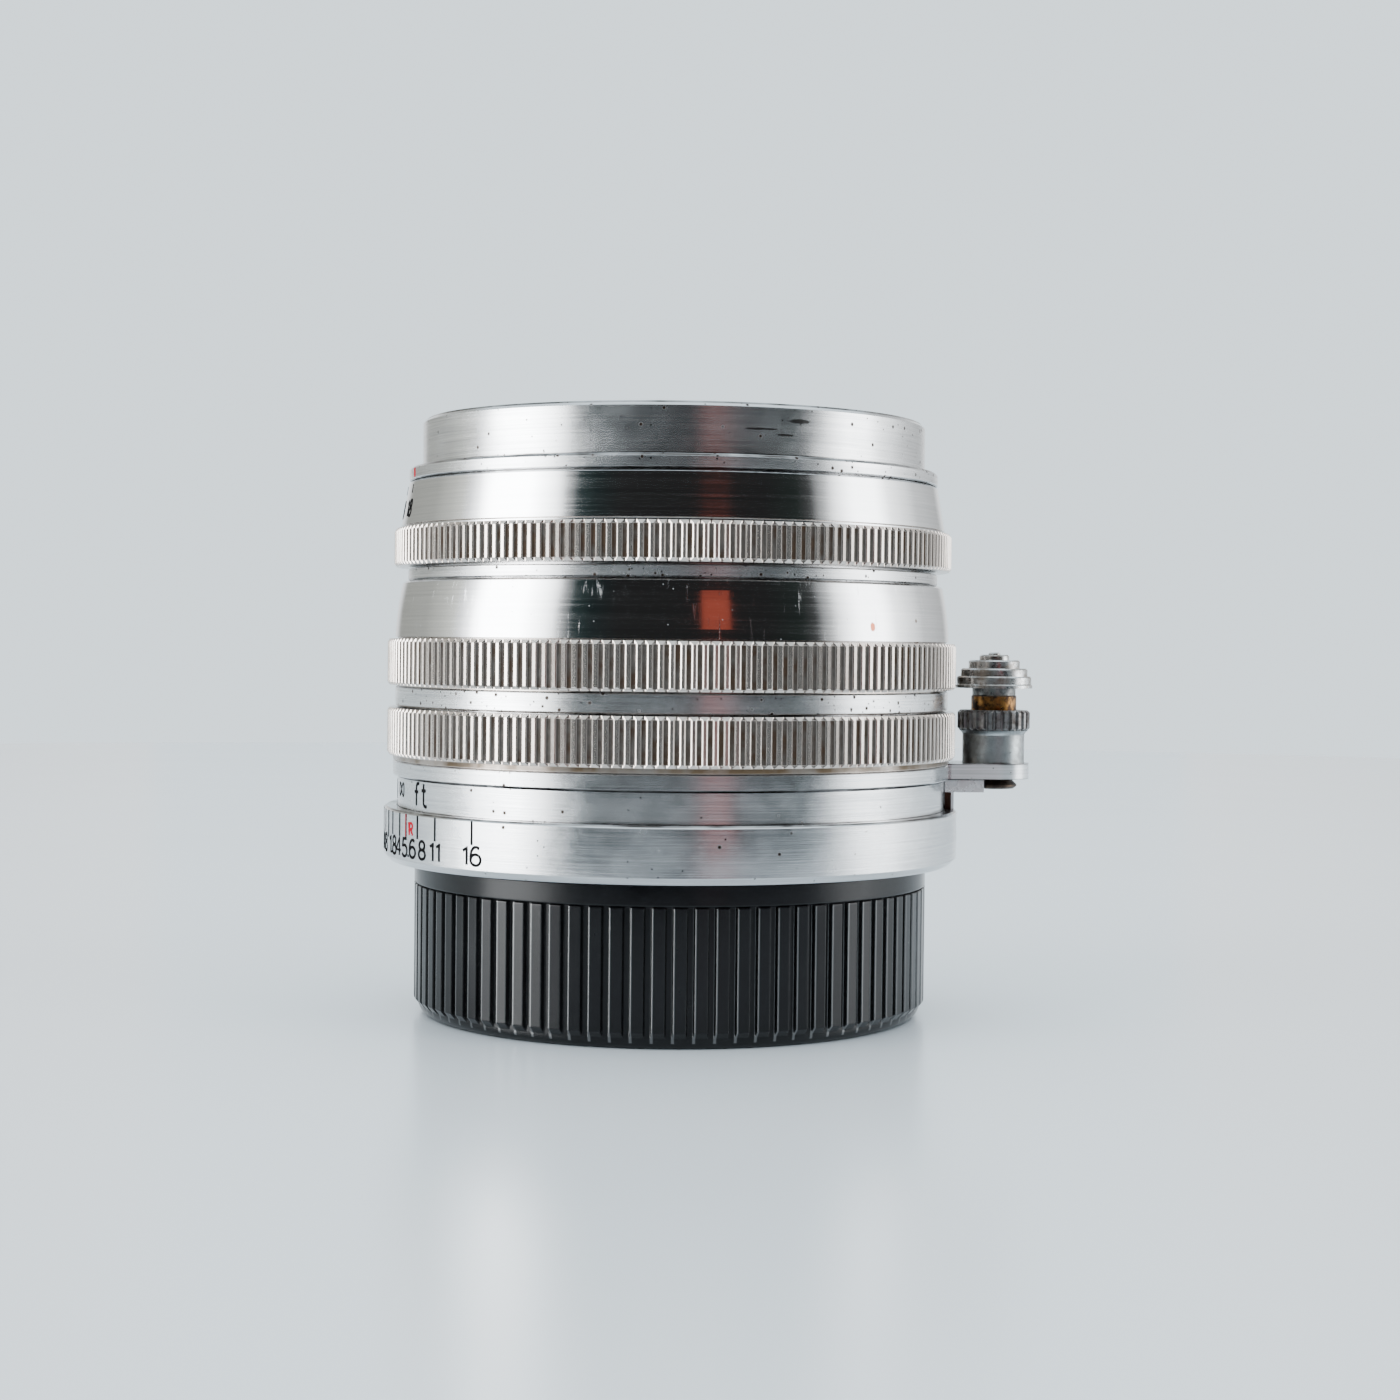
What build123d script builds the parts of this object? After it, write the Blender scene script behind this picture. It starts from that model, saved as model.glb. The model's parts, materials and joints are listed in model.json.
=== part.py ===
from build123d import *
import math
import os

# Prime camera lens with a screw mount, standing on its rear cap.
# Millimetres. The origin is the centre of the cap's underside, on the optical axis.
# +Z runs to the front rim, +X to the infinity-lock post.

os.makedirs("parts", exist_ok=True)

# ---------------------------------------------------------------- running fits
fit = 0.05
gap = 0.1

# ---------------------------------------------------------------- heights along the axis
cap_floor_z = 1.6
cap_band_z = 10.9
cap_top_z = 12.7
barrel_rear_z = 6.4
key_z = 12.1
key_top_z = 14.0
flange_z = 12.8
flange_top_z = 14.1
foot_top_z = 15.5
wall_top_z = 17.0
depth_top_z = 17.25
distance_z = 17.1
arm_z = 19.8
arm_top_z = 21.1
focus_grip_z = 21.5
focus_helicoid_top_z = 22.1
focus_grip_top_z = 25.4
skirt_z = 25.5
hub_flange_z = 25.6
head_z = 27.15
cone_z = 31.05
seat_z = 35.75
seat_top_z = 36.8
aperture_z = 37.0
aperture_knurl_top_z = 40.1
aperture_top_z = 43.95
index_z = 44.05
rim_z = 45.15
barrel_top_z = 45.25
rim_top_z = 49.2

# ---------------------------------------------------------------- outside radii
cap_r = 21.45
cap_groove = 0.4
cap_bore_r = 19.6
depth_ring_r = 24.0
distance_ring_r = 22.9
arm_ring_r = 23.3
grip_r = 23.8
skirt_ring_r = 23.15
cone_r = 23.2
cone_top_r = 22.63
seat_r = 22.15
aperture_grip_r = 23.3
aperture_cone_r = 22.75
aperture_cone_top_r = 22.15
index_r = 22.1
rim_r = 21.0

# ---------------------------------------------------------------- knurls and ribs
knurl_teeth = 180
knurl_depth = 0.17
knurl_bevel = 0.28
knurl_crest = 0.3
knurl_flank = 0.3
cap_ribs = 82
collar_teeth = 28

# ---------------------------------------------------------------- focus mechanism
mount_thread_r = 19.5
mount_thread_pitch = 0.977
guide_bore_r = 17.25
helicoid_r = 19.0
hub_r = 20.5
foot_r = 21.2
wall_bore_r = 21.3
flange_r = 22.2
barrel_well_r = 15.9
focus_turn = 190.0
stop_pin_angle = 200.0
stop_pin_radius = 20.9
key_width = 3.0

# ---------------------------------------------------------------- head and filter thread
barrel_r = 20.5
barrel_bore_r = 19.5
filter_thread_r = 20.0
filter_thread_pitch = 0.5
front_cell_r = 17.0
rear_cell_r = 15.4
cell_seat_z = 42.25
name_z = 45.45
retainer_z = 42.95
front_joint_z = 39.15
rear_joint_z = 26.95

# ---------------------------------------------------------------- iris
blade_count = 10
blade_turn = 37.5
aperture_turn = 54.0
pivot_circle_r = 16.6
pivot_pin_r = 0.4
blade_thick = 0.1
blade_step = 0.15
blade_z = 32.5
blade_inner_r = 12.0
blade_outer_r = 15.6
blade_arc = 112.0
drive_arm = 3.2
drive_angle = -100.0
drive_pin_r = 0.3
drive_slot = 0.7
housing_z = 31.65
housing_top_z = 32.45
rotor_z = 34.1
rotor_top_z = 34.8
rotor_tube_top_z = 39.75
link_z = 38.45
link_r = 0.7
link_angle = 90.0

# ---------------------------------------------------------------- infinity lock
post_x = 27.2
post_r = 2.6
post_bore_r = 1.95
post_floor_z = 21.55
collar_z = 23.85
collar_top_z = 25.55
collar_r = 3.04
stem_z = 24.15
button_z = 27.4
button_top_z = 30.4
button_r = 3.22
lock_pin_z = 18.95
neck_r = 1.9
lock_pin_r = 0.8
catch_end_r = 26.25
catch_in_r = 23.0
catch_out_r = 23.75
catch_width = 5.0
catch_z = 18.7
catch_top_z = 19.7


# ================================================================ helpers
def lathe(points):
    """Solid of revolution about Z from (radius, z) corners."""
    corners = [(r, 0, z) for r, z in points]
    profile = make_face(Polyline(*corners, close=True))
    return revolve(profile, Axis.Z)


def ring(r_in, r_out, z0, z1):
    return lathe([(r_in, z0), (r_out, z0), (r_out, z1), (r_in, z1)])


def bevelled_ring(r_in, r_out, z0, z1, c0, c1):
    """Ring with its two outer edges bevelled by c0 (lower) and c1 (upper)."""
    corners = [(r_in, z0), (r_out - c0, z0), (r_out, z0 + c0)]
    corners += [(r_out, z1 - c1), (r_out - c1, z1), (r_in, z1)]
    return lathe(corners)


def turn(shape, angle):
    return shape.rotate(Axis.Z, angle)


def polar(radius, angle):
    a = math.radians(angle)
    return (radius * math.cos(a), radius * math.sin(a))


def disc(radius, x, y, z0, z1):
    """Cylinder along Z with its axis at x, y."""
    return Pos(x, y, (z0 + z1) / 2) * Cylinder(radius, z1 - z0)


def radial_rod(radius, r0, r1, z, angle):
    """Cylinder lying along a radius."""
    rod = Pos((r0 + r1) / 2, 0, z) * Rot(0, 90, 0) * Cylinder(radius, r1 - r0)
    return turn(rod, angle)


def slab(x0, x1, width, z0, z1):
    """Block along X, centred on y = 0."""
    return Pos((x0 + x1) / 2, 0, (z0 + z1) / 2) * Box(x1 - x0, width, z1 - z0)


def sector(r0, r1, z0, z1, a0, a1):
    """Part of a ring between two azimuths."""
    steps = max(2, int((a1 - a0) / 30) + 2)
    reach = r1 * 2
    fan = [(0, 0)]
    fan += [polar(reach, a0 + (a1 - a0) * k / steps) for k in range(steps + 1)]
    wedge = extrude(Pos(0, 0, z0) * make_face(Polyline(*fan, close=True)), z1 - z0)
    return ring(r0, r1, z0, z1) & wedge


def tooth_outline(r_crest, depth, teeth, crest, flank, z):
    """Closed wire of flat-topped teeth at height z."""
    pitch = 360.0 / teeth
    corners = []
    for k in range(teeth):
        mid = k * pitch
        corners.append((*polar(r_crest, mid - crest * pitch / 2), z))
        corners.append((*polar(r_crest, mid + crest * pitch / 2), z))
        corners.append((*polar(r_crest - depth, mid + (crest / 2 + flank) * pitch), z))
        corners.append((*polar(r_crest - depth, mid + (1 - crest / 2 - flank) * pitch), z))
    return Wire.make_polygon([Vector(*c) for c in corners], close=True)


def toothed_prism(r_crest, depth, teeth, crest, flank, z0, z1, low_bevel, top_bevel):
    """Solid toothed bar along Z with bevelled ends, where each groove runs out to a point."""
    valley = r_crest - depth + 0.01
    narrow = 0.04
    wide = crest + 2 * (flank - narrow)
    sections = [
        tooth_outline(valley, 0.01, teeth, wide, narrow, z0),
        tooth_outline(r_crest, depth, teeth, crest, flank, z0 + low_bevel),
        tooth_outline(r_crest, depth, teeth, crest, flank, z1 - top_bevel),
        tooth_outline(valley, 0.01, teeth, wide, narrow, z1),
    ]
    return Solid.make_loft(sections, ruled=True)


def straight_knurl(r_crest, r_bore, z0, z1):
    """Straight-knurled band with a plain bore."""
    ends = (z0, z1, knurl_bevel, knurl_bevel)
    band = toothed_prism(r_crest, knurl_depth, knurl_teeth, knurl_crest, knurl_flank, *ends)
    return band - disc(r_bore, 0, 0, z0 - 1, z1 + 1)


def thread_profile(r_major, depth, pitch, z0, z1):
    """Zigzag corners of a thread flank, bottom to top."""
    turns = int((z1 - z0) / pitch)
    corners = []
    for k in range(turns):
        z = z0 + k * pitch
        corners.append((r_major, z + 0.1 * pitch))
        corners.append((r_major, z + 0.3 * pitch))
        corners.append((r_major - depth, z + 0.65 * pitch))
        corners.append((r_major - depth, z + 0.75 * pitch))
    return corners


def screw(head_r, head_h, shank_r, length):
    """Slotted screw pointing down -Z with its head's top face at z = 0."""
    body = disc(head_r, 0, 0, -head_h, 0) + disc(shank_r, 0, 0, -length, -head_h)
    slot = Pos(0, 0, -head_h * 0.2) * Box(head_r * 3, head_r * 0.32, head_h * 0.5)
    return body - slot


def axial_screw(head_r, head_h, shank_r, length, radius, z, angle):
    return turn(Pos(radius, 0, z) * screw(head_r, head_h, shank_r, length), angle)


def radial_screw(head_r, head_h, shank_r, length, radius, z, angle):
    """Screw driven inwards along a radius, head flush with the given radius."""
    return turn(Pos(radius, 0, z) * Rot(0, 90, 0) * screw(head_r, head_h, shank_r, length), angle)


def solid_screw(head_r, head_h, shank_r, length):
    """The room a screw takes up, without its slot."""
    return disc(head_r, 0, 0, -head_h, 0.2) + disc(shank_r, 0, 0, -length, -head_h)


def axial_hole(head_r, head_h, shank_r, length, radius, z, angle):
    return turn(Pos(radius, 0, z) * solid_screw(head_r, head_h, shank_r, length), angle)


def radial_hole(head_r, head_h, shank_r, length, radius, z, angle):
    hole = Pos(radius, 0, z) * Rot(0, 90, 0) * solid_screw(head_r, head_h, shank_r, length)
    return turn(hole, angle)


def cap_profile_corner(r, radius, steps):
    """Rounded outer edge at the foot of the cap, from the underside outwards."""
    corners = []
    for k in range(steps + 1):
        a = math.radians(90.0 * k / steps)
        corners.append((r - radius + radius * math.sin(a), radius - radius * math.cos(a)))
    return corners


# ================================================================ rear cap
def rear_cap():
    foot_r_cap = cap_r - cap_groove
    rib_z = 0.9
    foot = lathe([(0, 0)] + cap_profile_corner(foot_r_cap, rib_z, 8) + [(0, rib_z)])
    ribs = toothed_prism(cap_r, cap_groove, cap_ribs, 0.6, 0.06, rib_z, cap_band_z, 0.45, 0.08)
    band = bevelled_ring(cap_bore_r, cap_r, cap_band_z, cap_top_z, 0.1, 0.2)
    body = foot + ribs + band
    body -= disc(cap_bore_r, 0, 0, cap_floor_z, cap_top_z + 1)
    relief = ring(cap_bore_r - 1.2, cap_bore_r, cap_floor_z, cap_floor_z + 2.2)
    return body + relief


# ================================================================ fixed mount
key_angles = (90.0, 270.0)
key_screw = (0.65, 0.5, 0.4, 3.0, 18.0, key_top_z)
depth_screw = (0.9, 0.5, 0.5, 2.2, 24.0, 15.1)
depth_screw_angles = (30.0, 90.0, 150.0)
catch_screw = (0.75, 0.45, 0.4, 1.6, 24.0, 15.0)
catch_screw_angles = (-3.6, 3.6)
stop_pin_place = polar(stop_pin_radius, stop_pin_angle)


def mount_barrel():
    corners = [(guide_bore_r, barrel_rear_z), (18.9, barrel_rear_z)]
    corners += thread_profile(mount_thread_r, 0.35, mount_thread_pitch, 6.6, 12.0)
    corners += [(18.9, 12.3), (18.9, flange_z), (flange_r, flange_z)]
    corners += [(flange_r, wall_top_z), (wall_bore_r, wall_top_z)]
    corners += [(wall_bore_r, flange_top_z), (guide_bore_r, flange_top_z)]
    body = lathe(corners)
    for angle in key_angles:
        body -= turn(slab(16.0, 18.9, key_width, key_z, key_top_z + 0.2), angle)
        body -= axial_hole(*key_screw, angle)
    for angle in depth_screw_angles:
        body -= radial_hole(*depth_screw, angle)
    body -= focus_stop_pin()
    return body


def focus_stop_pin():
    return disc(0.3, *stop_pin_place, 13.3, 15.4)


def guide_keys():
    block = slab(16.3, 18.9, key_width, key_z, key_top_z)
    keys = [turn(block, a) - axial_hole(*key_screw, a) for a in key_angles]
    return Compound(children=keys)


def guide_key_screws():
    return Compound(children=[axial_screw(*key_screw, a) for a in key_angles])


def focus_retaining_ring():
    body = ring(hub_r + fit, wall_bore_r, foot_top_z + gap, 16.8)
    for k in range(4):
        body -= turn(slab(20.0, 21.0, 0.9, 16.2, 17.0), 45 + 90 * k)
    return body


def catch_room():
    """The strip of the catch that stands in the depth ring."""
    strip = sector(catch_in_r, catch_out_r, 13.9, catch_top_z, -20, 20)
    return strip & slab(20, 30, catch_width, 10, 30)


def depth_scale_ring():
    lip_r = distance_ring_r + gap
    corners = [(flange_r, flange_z), (depth_ring_r - 0.55, flange_z), (depth_ring_r, flange_z + 0.55)]
    corners += [(depth_ring_r, depth_top_z - 0.2), (depth_ring_r - 0.2, depth_top_z)]
    corners += [(lip_r, depth_top_z), (lip_r, wall_top_z), (flange_r, wall_top_z)]
    body = lathe(corners) - catch_room()
    for angle in depth_screw_angles:
        body -= radial_hole(*depth_screw, angle)
    for angle in catch_screw_angles:
        body -= radial_hole(*catch_screw, angle)
    return body


def depth_ring_screws():
    return Compound(children=[radial_screw(*depth_screw, a) for a in depth_screw_angles])


def lock_catch():
    tongue = ring(catch_in_r, catch_end_r, catch_z, catch_top_z)
    tongue &= slab(20, 30, catch_width, 10, 30)
    body = tongue + catch_room()
    for angle in catch_screw_angles:
        body -= radial_hole(*catch_screw, angle)
    return body


def catch_screws():
    return Compound(children=[radial_screw(*catch_screw, a) for a in catch_screw_angles])


# ================================================================ focus ring
arm_screw = (0.6, 0.45, 0.35, 2.4, 21.6, arm_top_z)
arm_screw_angles = (60.0, 180.0, 300.0)
grip_screw = (0.6, 0.5, 0.35, 2.0, 21.6, focus_helicoid_top_z)
grip_screw_angles = (30.0, 150.0, 270.0)


def focus_helicoid():
    corners = [(helicoid_r, flange_top_z + gap), (foot_r, flange_top_z + gap), (foot_r, foot_top_z)]
    corners += [(hub_r, foot_top_z), (hub_r, focus_helicoid_top_z)]
    corners += [(helicoid_r, focus_helicoid_top_z)]
    body = lathe(corners)
    pin_half = math.degrees(0.35 / stop_pin_radius)
    a0 = stop_pin_angle - focus_turn - pin_half
    a1 = stop_pin_angle + pin_half
    middle = (a0 + a1) / 2
    body -= sector(hub_r, foot_r + 1, 14.0, foot_top_z, a0, middle)
    body -= sector(hub_r, foot_r + 1, 14.0, foot_top_z, middle, a1)
    return body


def distance_scale_ring():
    body = bevelled_ring(hub_r, distance_ring_r, distance_z, arm_z, 0.1, 0.15)
    for angle in arm_screw_angles:
        body -= axial_hole(*arm_screw, angle)
    return body


def lock_arm():
    body = bevelled_ring(hub_r, arm_ring_r, arm_z, arm_top_z, 0.1, 0.15)
    plate = slab(21.5, post_x, 6.0, arm_z, arm_top_z)
    plate += disc(3.0, post_x, 0, arm_z, arm_top_z)
    plate -= disc(22.0, 0, 0, arm_z - 1, arm_top_z + 1)
    body += plate
    body -= disc(lock_pin_r + fit, post_x, 0, arm_z - 1, arm_top_z + 1)
    for angle in arm_screw_angles:
        body -= axial_hole(*arm_screw, angle)
    for angle in grip_screw_angles:
        body -= axial_hole(*grip_screw, angle)
    return body


def arm_screws():
    return Compound(children=[axial_screw(*arm_screw, a) for a in arm_screw_angles])


def focus_grip_ring():
    web = ring(hub_r, 23.3, arm_top_z, focus_helicoid_top_z)
    skirt = straight_knurl(grip_r, 22.4, focus_grip_z, focus_grip_top_z)
    body = web + skirt
    for angle in grip_screw_angles:
        body -= axial_hole(*grip_screw, angle)
    return body


def grip_ring_screws():
    return Compound(children=[axial_screw(*grip_screw, a) for a in grip_screw_angles])


def lock_post():
    fillet = []
    for k in range(6):
        swell = 0.3 * (1 - math.cos(math.radians(18 * k)))
        fillet.append((post_r + swell, collar_z - 0.4 + 0.08 * k))
    corners = [(lock_pin_r + fit, arm_top_z), (post_r, arm_top_z)] + fillet
    corners += [(post_bore_r, collar_z), (post_bore_r, post_floor_z), (lock_pin_r + fit, post_floor_z)]
    return Pos(post_x, 0, 0) * lathe(corners)


def lock_collar():
    band = toothed_prism(collar_r, 0.22, collar_teeth, 0.42, 0.2, collar_z, collar_top_z, 0.2, 0.2)
    band -= disc(post_bore_r, 0, 0, collar_z - 1, collar_top_z + 1)
    return Pos(post_x, 0, 0) * band


def lock_spring():
    wire_r = 0.15
    bottom = post_floor_z + fit + wire_r
    height = stem_z - bottom - wire_r
    coil = Helix(pitch=height / 3.5, height=height, radius=1.4)
    section = Plane(origin=coil @ 0, z_dir=coil % 0) * Circle(wire_r)
    return Pos(post_x, 0, bottom) * sweep(section, path=coil)


# ================================================================ lock button
def button_cap():
    steps = [(0.5, 30.4), (1.25, 30.2), (2.15, 29.75), (2.8, 29.05), (3.12, 28.4), (button_r, 27.75)]
    corners = [(0, button_z), (button_r, button_z)]
    for k in range(len(steps) - 1, 0, -1):
        radius, z = steps[k]
        inner = steps[k - 1][0]
        corners += [(radius, z - 0.12), (radius - 0.12, z), (inner, z)]
    corners += [(steps[0][0], button_top_z - 0.1), (steps[0][0] - 0.15, button_top_z), (0, button_top_z)]
    return Pos(post_x, 0, 0) * lathe(corners)


def button_stem():
    corners = [(0, lock_pin_z + 0.2), (lock_pin_r, lock_pin_z + 0.2), (lock_pin_r, stem_z)]
    corners += [(neck_r, stem_z), (neck_r, 26.7), (neck_r - 0.08, 26.8), (neck_r - 0.08, button_z)]
    corners += [(0, button_z)]
    return Pos(post_x, 0, 0) * lathe(corners)


def lock_pin_head():
    top = arm_z - gap
    corners = [(0, lock_pin_z), (1.75, lock_pin_z), (2.0, lock_pin_z + 0.2), (2.0, lock_pin_z + 0.35)]
    corners += [(1.6, top), (0, top)]
    body = Pos(post_x, 0, 0) * lathe(corners)
    body -= slab(20, catch_end_r + gap, 8, 18, 21)
    return body - disc(lock_pin_r, post_x, 0, lock_pin_z + 0.2, 21)


# ================================================================ sliding head
index_screw = (0.45, 0.4, 0.3, 2.1, index_r, 44.6)
index_screw_angles = (30.0, 90.0, 150.0)


def inner_helicoid():
    step_z = flange_top_z + 0.2
    corners = [(barrel_well_r, 9.0), (guide_bore_r - fit, 9.0), (guide_bore_r - fit, step_z)]
    corners += [(helicoid_r - fit, step_z), (helicoid_r - fit, hub_flange_z), (21.8, hub_flange_z)]
    corners += [(21.8, head_z), (barrel_well_r, head_z)]
    body = lathe(corners)
    for angle in key_angles:
        body -= turn(slab(15.0, 17.4, key_width + 2 * fit, 8.5, key_top_z + gap), angle)
    return body


def rangefinder_cam():
    return bevelled_ring(barrel_well_r, guide_bore_r - fit, 8.0, 9.0, 0.2, 0.05)


def head_skirt():
    foot_z = focus_helicoid_top_z + 0.2
    corners = [(21.3, foot_z), (22.3, foot_z), (22.3, skirt_z), (skirt_ring_r - 0.15, skirt_z)]
    corners += [(skirt_ring_r, skirt_z + 0.15), (skirt_ring_r, head_z - 0.15)]
    corners += [(skirt_ring_r - 0.15, head_z), (21.8, head_z), (21.8, hub_flange_z), (21.3, hub_flange_z)]
    return lathe(corners)


def head_grip_ring():
    shoulder = ring(barrel_r, 22.9, head_z, head_z + 0.9)
    grip = straight_knurl(grip_r, barrel_r, head_z + 0.1, cone_z)
    return shoulder + grip


def head_cone():
    steps = 6
    slope = []
    z0 = cone_z + 0.15
    z1 = seat_z - 0.15
    for k in range(steps + 1):
        t = k / steps
        bulge = 0.1 * 4 * t * (1 - t)
        slope.append((cone_r + (cone_top_r - cone_r) * t + bulge, z0 + (z1 - z0) * t))
    corners = [(barrel_r, cone_z), (cone_r - 0.3, cone_z), (cone_r - 0.15, z0)]
    corners += slope + [(cone_top_r - 0.15, seat_z), (barrel_r, seat_z)]
    return lathe(corners)


def aperture_seat_ring():
    corners = [(barrel_r, seat_z), (seat_r - 0.4, seat_z), (seat_r - 0.4, seat_z + 0.1)]
    corners += [(seat_r - 0.1, seat_z + 0.1), (seat_r, seat_z + 0.2), (seat_r, seat_top_z - 0.1)]
    corners += [(seat_r - 0.1, seat_top_z), (barrel_r, seat_top_z)]
    return lathe(corners)


def head_barrel():
    corners = [(barrel_bore_r, head_z), (barrel_r, head_z), (barrel_r, barrel_top_z)]
    corners += [(barrel_bore_r, barrel_top_z), (barrel_bore_r, cell_seat_z), (front_cell_r, cell_seat_z)]
    corners += [(front_cell_r, cell_seat_z - 1.8), (barrel_bore_r, cell_seat_z - 1.8)]
    body = lathe(corners)
    clearance = math.degrees((link_r + gap) / barrel_bore_r)
    a0 = link_angle - clearance
    a1 = link_angle + aperture_turn + clearance
    half = link_r + gap
    body -= sector(barrel_bore_r - 0.2, barrel_r + 0.2, link_z - half, link_z + half, a0, a1)
    for angle in index_screw_angles:
        body -= radial_hole(*index_screw, angle)
    return body


def index_ring():
    body = bevelled_ring(barrel_r, index_r, index_z, rim_z, 0.12, 0.2)
    for angle in index_screw_angles:
        body -= radial_hole(*index_screw, angle)
    return body


def index_ring_screws():
    return Compound(children=[radial_screw(*index_screw, a) for a in index_screw_angles])


def filter_ring():
    corners = [(18.6, 43.55), (barrel_bore_r, 43.55), (barrel_bore_r, barrel_top_z)]
    corners += [(barrel_r, barrel_top_z)]
    corners += [(barrel_r, rim_z), (rim_r - 0.1, rim_z), (rim_r, rim_z + 0.1)]
    corners += [(rim_r, rim_top_z - 0.35), (rim_r - 0.3, rim_top_z), (filter_thread_r + 0.4, rim_top_z)]
    thread = thread_profile(filter_thread_r + 0.2, 0.2, filter_thread_pitch, 46.15, 48.9)
    corners += [(filter_thread_r, 48.95)] + thread[::-1]
    relief_r = filter_thread_r + 0.3
    corners += [(filter_thread_r, 46.15), (filter_thread_r + 0.1, 46.05), (relief_r, name_z), (18.6, name_z)]
    return lathe(corners)


def name_ring():
    corners = [(15.6, name_z), (19.9, name_z), (19.9, name_z + 0.6), (19.6, name_z + 0.6)]
    corners += [(16.3, name_z + 0.2), (15.6, name_z + 0.2)]
    return lathe(corners)


def front_cell():
    foot_z = rotor_top_z + 0.15
    corners = [(10.0, foot_z - 0.7), (14.8, foot_z - 0.7), (14.8, foot_z), (front_cell_r, foot_z)]
    corners += [(front_cell_r, cell_seat_z), (18.4, cell_seat_z), (18.4, cell_seat_z + 1)]
    corners += [(front_cell_r, cell_seat_z + 1), (front_cell_r, name_z), (15.6, name_z)]
    corners += [(15.6, retainer_z), (15.05, retainer_z), (15.05, 41.95), (12.05, 41.95)]
    corners += [(12.05, foot_z), (10.0, foot_z)]
    return lathe(corners)


def front_retainer():
    top = retainer_z + 0.9
    body = lathe([(14.3, retainer_z), (15.6, retainer_z), (15.6, top), (14.7, top)])
    for k in range(2):
        body -= turn(slab(14.0, 16.0, 0.9, top - 0.4, top + 1), 40 + 180 * k)
    return body


def rear_cell():
    corners = [(12.0, 18.25), (14.6, 18.25), (rear_cell_r, 19.05), (rear_cell_r, head_z), (19.3, head_z)]
    corners += [(19.3, 28.5), (rear_cell_r, 28.5), (rear_cell_r, housing_z), (11.05, housing_z)]
    corners += [(11.05, 25.75), (10.6, 25.75), (10.6, 21.5), (11.55, 21.5), (11.55, 20.1), (12.0, 20.1)]
    return lathe(corners)


def rear_retainer():
    return lathe([(10.8, 18.85), (12.0, 18.85), (12.0, 20.0), (11.0, 20.0)])


# ================================================================ glass
def sag(surface_r, r):
    return surface_r - math.sqrt(surface_r ** 2 - r ** 2)


def surface(vertex, surface_r, direction, r_max, steps):
    """Corners of a spherical face from the axis outwards; direction is the way its edge moves in z."""
    corners = []
    for k in range(steps + 1):
        r = r_max * k / steps
        corners.append((r, vertex + direction * sag(surface_r, r)))
    return corners


def glass(front, rear):
    """Lens from its front and rear corner lists, both running outwards from the axis."""
    return lathe(front + rear[::-1])


def element_1():
    return glass(surface(46.05, 34.0, -1, 15.0, 14), surface(43.45, 80.0, -1, 15.0, 10))


def element_2():
    return glass(surface(43.15, 22.0, -1, 12.0, 14), [(0, front_joint_z), (12.0, front_joint_z)])


def element_3():
    rear = surface(38.15, 16.0, -1, 9.5, 10)
    rear.append((12.0, rear[-1][1]))
    return glass([(0, front_joint_z), (12.0, front_joint_z)], rear)


def element_4():
    front = surface(28.15, 14.0, 1, 9.5, 10)
    front.append((11.0, front[-1][1]))
    return glass(front, [(0, rear_joint_z), (11.0, rear_joint_z)])


def element_5():
    return glass([(0, rear_joint_z), (11.0, rear_joint_z)], surface(22.55, 19.0, 1, 11.0, 12))


def element_6():
    return glass(surface(22.25, 75.0, -1, 11.5, 10), surface(18.25, 33.0, 1, 11.5, 10))


# ================================================================ iris
def iris_lock_ring():
    body = ring(17.6, barrel_bore_r, housing_z - 1, housing_z)
    for k in range(2):
        body -= turn(slab(17.0, 18.6, 1.0, housing_z - 2, housing_z - 0.5), 90 * k)
    return body


def iris_housing():
    body = ring(12.4, barrel_bore_r, housing_z, housing_top_z)
    for k in range(blade_count):
        place = polar(pivot_circle_r, 360 * k / blade_count)
        body += disc(pivot_pin_r, *place, housing_top_z, rotor_z - fit)
    return body


def drive_place(turned):
    """Drive pin centre for a blade whose pivot is on +X, after it has turned."""
    dx, dy = polar(drive_arm, drive_angle + turned)
    return (pivot_circle_r + dx, dy)


def strip_between(start, end, width):
    """Flat rectangle joining two points."""
    dx = end[0] - start[0]
    dy = end[1] - start[1]
    angle = math.degrees(math.atan2(dy, dx))
    length = math.hypot(dx, dy)
    middle = ((start[0] + end[0]) / 2, (start[1] + end[1]) / 2)
    return Pos(*middle, 0) * Rot(0, 0, angle) * Rectangle(length, width)


def blade_outline():
    middle_r = (blade_inner_r + blade_outer_r) / 2
    half = (blade_outer_r - blade_inner_r) / 2
    fan = [(0, 0)]
    fan += [polar(40, 4 + (blade_arc - 4) * k / 6) for k in range(7)]
    arc = (Circle(blade_outer_r) - Circle(blade_inner_r)) & make_face(Polyline(*fan, close=True))
    pivot = (pivot_circle_r, 0)
    outline = arc + Pos(*polar(middle_r, blade_arc), 0) * Circle(half)
    outline += Pos(*polar(middle_r, 4), 0) * Circle(half)
    outline += Pos(*pivot, 0) * Circle(1.1)
    outline += strip_between(polar(middle_r, 4), pivot, 2.1)
    outline += strip_between(pivot, drive_place(0), 1.0)
    outline += Pos(*drive_place(0), 0) * Circle(0.55)
    return outline - Pos(*pivot, 0) * Circle(pivot_pin_r + fit)


def iris_blade(index):
    z = blade_z + blade_step * index
    leaf = extrude(Pos(0, 0, z) * blade_outline(), blade_thick)
    pin = disc(drive_pin_r, *drive_place(0), z, rotor_top_z - fit)
    return turn(leaf + pin, 360 * index / blade_count)


def slot_locus(steps):
    """Path of the drive pin as seen from the turning rotor."""
    path = []
    for k in range(steps + 1):
        t = k / steps
        x, y = drive_place(blade_turn * t)
        angle = math.degrees(math.atan2(y, x)) - aperture_turn * t
        path.append(polar(math.hypot(x, y), angle))
    return path


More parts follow.
